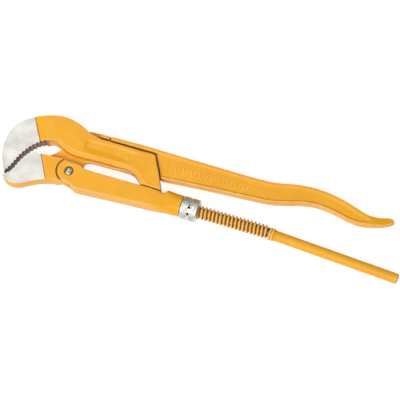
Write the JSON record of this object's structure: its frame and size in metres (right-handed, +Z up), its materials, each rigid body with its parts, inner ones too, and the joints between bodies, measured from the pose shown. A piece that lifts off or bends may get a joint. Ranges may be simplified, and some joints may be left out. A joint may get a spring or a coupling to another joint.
{
  "type": "pipe wrench",
  "caption": "Swedish-pattern pipe wrench with S-shaped jaws, a swinging I-beam handle and a knurled nut that slides the hook jaw on its threaded spindle.",
  "frame": {"origin": "middle of the wrench's outline, on the surface that it lies on", "axes": "+X along the wrench from the jaws to the handle ends, +Y towards the swinging handle, +Z up through the wrench's thickness"},
  "size_m": [0.3352, 0.0672, 0.0185],
  "materials": {
    "orange_paint": "satin powder coat over forged steel, worn thin on edges",
    "bare_steel": "ground bare steel with fine grinding lines",
    "zinc_plate": "dull zinc plate, knurled"
  },
  "bodies": {
    "housing": {"housing": "orange_paint", "pivot_rivet": "bare_steel"},
    "handle": {"lower_jaw_handle": "orange_paint"},
    "hook": {"upper_jaw": "orange_paint", "spindle_pin": "bare_steel", "threaded_spindle": "orange_paint", "rod_handle": "orange_paint"},
    "nut": {"adjusting_nut": "zinc_plate"}
  },
  "joints": [
    {"name": "handle_swing", "type": "hinge", "parent": "housing", "child": "handle", "pos_m": [-0.10995, -0.01055, 0.00925], "axis": [0, 0, 1], "range_deg": [0, 16]},
    {"name": "jaw_slide", "type": "slide", "parent": "housing", "child": "hook", "axis": [-1, 0, 0], "range_m": [0, 0.042]},
    {"name": "nut_turn", "type": "hinge", "parent": "housing", "child": "nut", "pos_m": [-0.00855, -0.01085, 0.00925], "axis": [1, 0, 0], "range_deg": [0, 4805]}
  ],
  "couplings": [
    {"joint": "nut_turn", "follows": "jaw_slide", "rad_per_m": 1994.7}
  ]
}
